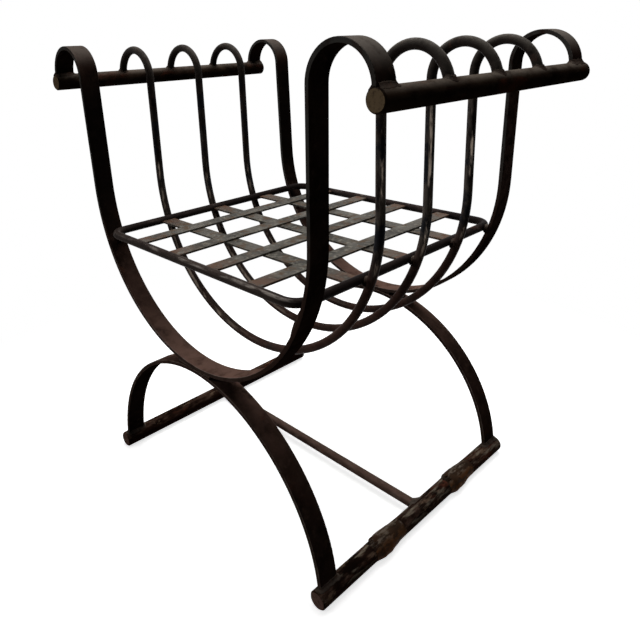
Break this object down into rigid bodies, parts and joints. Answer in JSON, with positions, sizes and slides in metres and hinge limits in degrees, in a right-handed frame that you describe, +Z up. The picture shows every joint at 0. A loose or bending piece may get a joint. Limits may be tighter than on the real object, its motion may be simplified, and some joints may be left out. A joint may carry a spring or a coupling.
{
  "type": "curule bench",
  "caption": "Welded iron bench: a U-shaped cradle of flat bands and round hoops holds a strap seat, hooks over arm bars and stands on arched legs with foot bars.",
  "frame": {"origin": "on the floor, below the middle of the bench", "axes": "+X to the bench's right, along the arm to arm width; +Y to the rear, along the arm bars and foot bars; +Z up"},
  "size_m": [0.698, 0.4568, 0.718],
  "materials": {
    "blackened_flat_iron": "brown-black blackened flat bar, satin, rubbed paler on its edges",
    "blackened_rod": "blue-black blackened rod with brown worn streaks, satin",
    "blackened_bar": "brown-black blackened round bar with sawn ends, satin",
    "worn_foot_iron": "blackened round bar, mottled grey and brown by wear on the floor",
    "rusty_strap_iron": "grey-brown strap iron with rust patches, dull",
    "weld_metal": "blackened weld bead, uneven",
    "worn_leather": "brown leather worn through to grey, dull"
  },
  "bodies": {
    "root": {"front_band": "blackened_flat_iron", "rear_band": "blackened_flat_iron", "front_leg_arch": "blackened_flat_iron", "rear_leg_arch": "blackened_flat_iron", "round_hoop_1": "blackened_rod", "round_hoop_2": "blackened_rod", "round_hoop_3": "blackened_rod", "left_arm_bar": "blackened_bar", "right_arm_bar": "blackened_bar", "left_foot_bar": "worn_foot_iron", "right_foot_bar": "worn_foot_iron", "stretcher_rod": "blackened_rod", "seat_frame": "blackened_rod", "long_seat_strap_1": "rusty_strap_iron", "long_seat_strap_2": "rusty_strap_iron", "long_seat_strap_3": "rusty_strap_iron", "long_seat_strap_4": "rusty_strap_iron", "cross_seat_strap_1": "rusty_strap_iron", "cross_seat_strap_2": "rusty_strap_iron", "cross_seat_strap_3": "rusty_strap_iron", "left_arm_welds": "weld_metal", "right_arm_welds": "weld_metal", "crown_welds": "weld_metal", "seat_frame_welds": "weld_metal", "foot_welds": "weld_metal", "stretcher_welds": "weld_metal", "front_floor_wrap": "worn_leather", "rear_floor_wrap": "worn_leather"}
  },
  "joints": []
}
